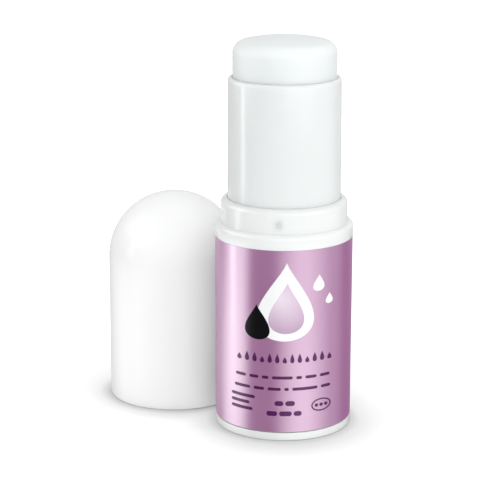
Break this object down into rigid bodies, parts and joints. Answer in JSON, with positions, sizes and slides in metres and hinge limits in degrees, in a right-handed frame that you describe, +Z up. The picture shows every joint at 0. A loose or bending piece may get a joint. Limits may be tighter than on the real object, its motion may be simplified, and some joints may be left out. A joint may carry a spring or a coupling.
{
  "type": "deodorant stick",
  "caption": "Round wind-up deodorant stick in a labelled barrel, wound up for use, with its domed cap taken off and stood beside it.",
  "frame": {"origin": "on the stick's axis, at the foot of the base dial, where it stands on the table", "axes": "+Z up along the stick, +X to the right as the label is read, and the label faces -Y"},
  "size_m": [0.0659, 0.0603, 0.1035],
  "materials": {
    "body_plastic": "moulded polypropylene, polished, slightly translucent",
    "sleeve_plastic": "moulded polypropylene, polished, slightly translucent",
    "inner_plastic": "moulded, as it leaves the tool",
    "cap_plastic": "opaque, high gloss",
    "label_film": "metallised lilac film, satin",
    "deodorant": "smooth waxy solid"
  },
  "bodies": {
    "container": {"barrel": "body_plastic", "label": "label_film", "inner_tube": "sleeve_plastic", "cap": "cap_plastic"},
    "dial": {"base_dial": "body_plastic", "screw_spindle": "inner_plastic"},
    "carriage": {"elevator_cup": "inner_plastic", "deodorant_stick": "deodorant"}
  },
  "joints": [
    {"name": "dial_twist", "type": "hinge", "parent": "container", "child": "dial", "pos_m": [0, 0, 0], "axis": [0, 0, 1], "range_deg": [-820.8, 1591.2]},
    {"name": "stick_lift", "type": "slide", "parent": "container", "child": "carriage", "axis": [0, 0, 1], "range_m": [-0.0114, 0.0221]}
  ],
  "couplings": [
    {"joint": "dial_twist", "follows": "stick_lift", "rad_per_m": 1256.6}
  ]
}
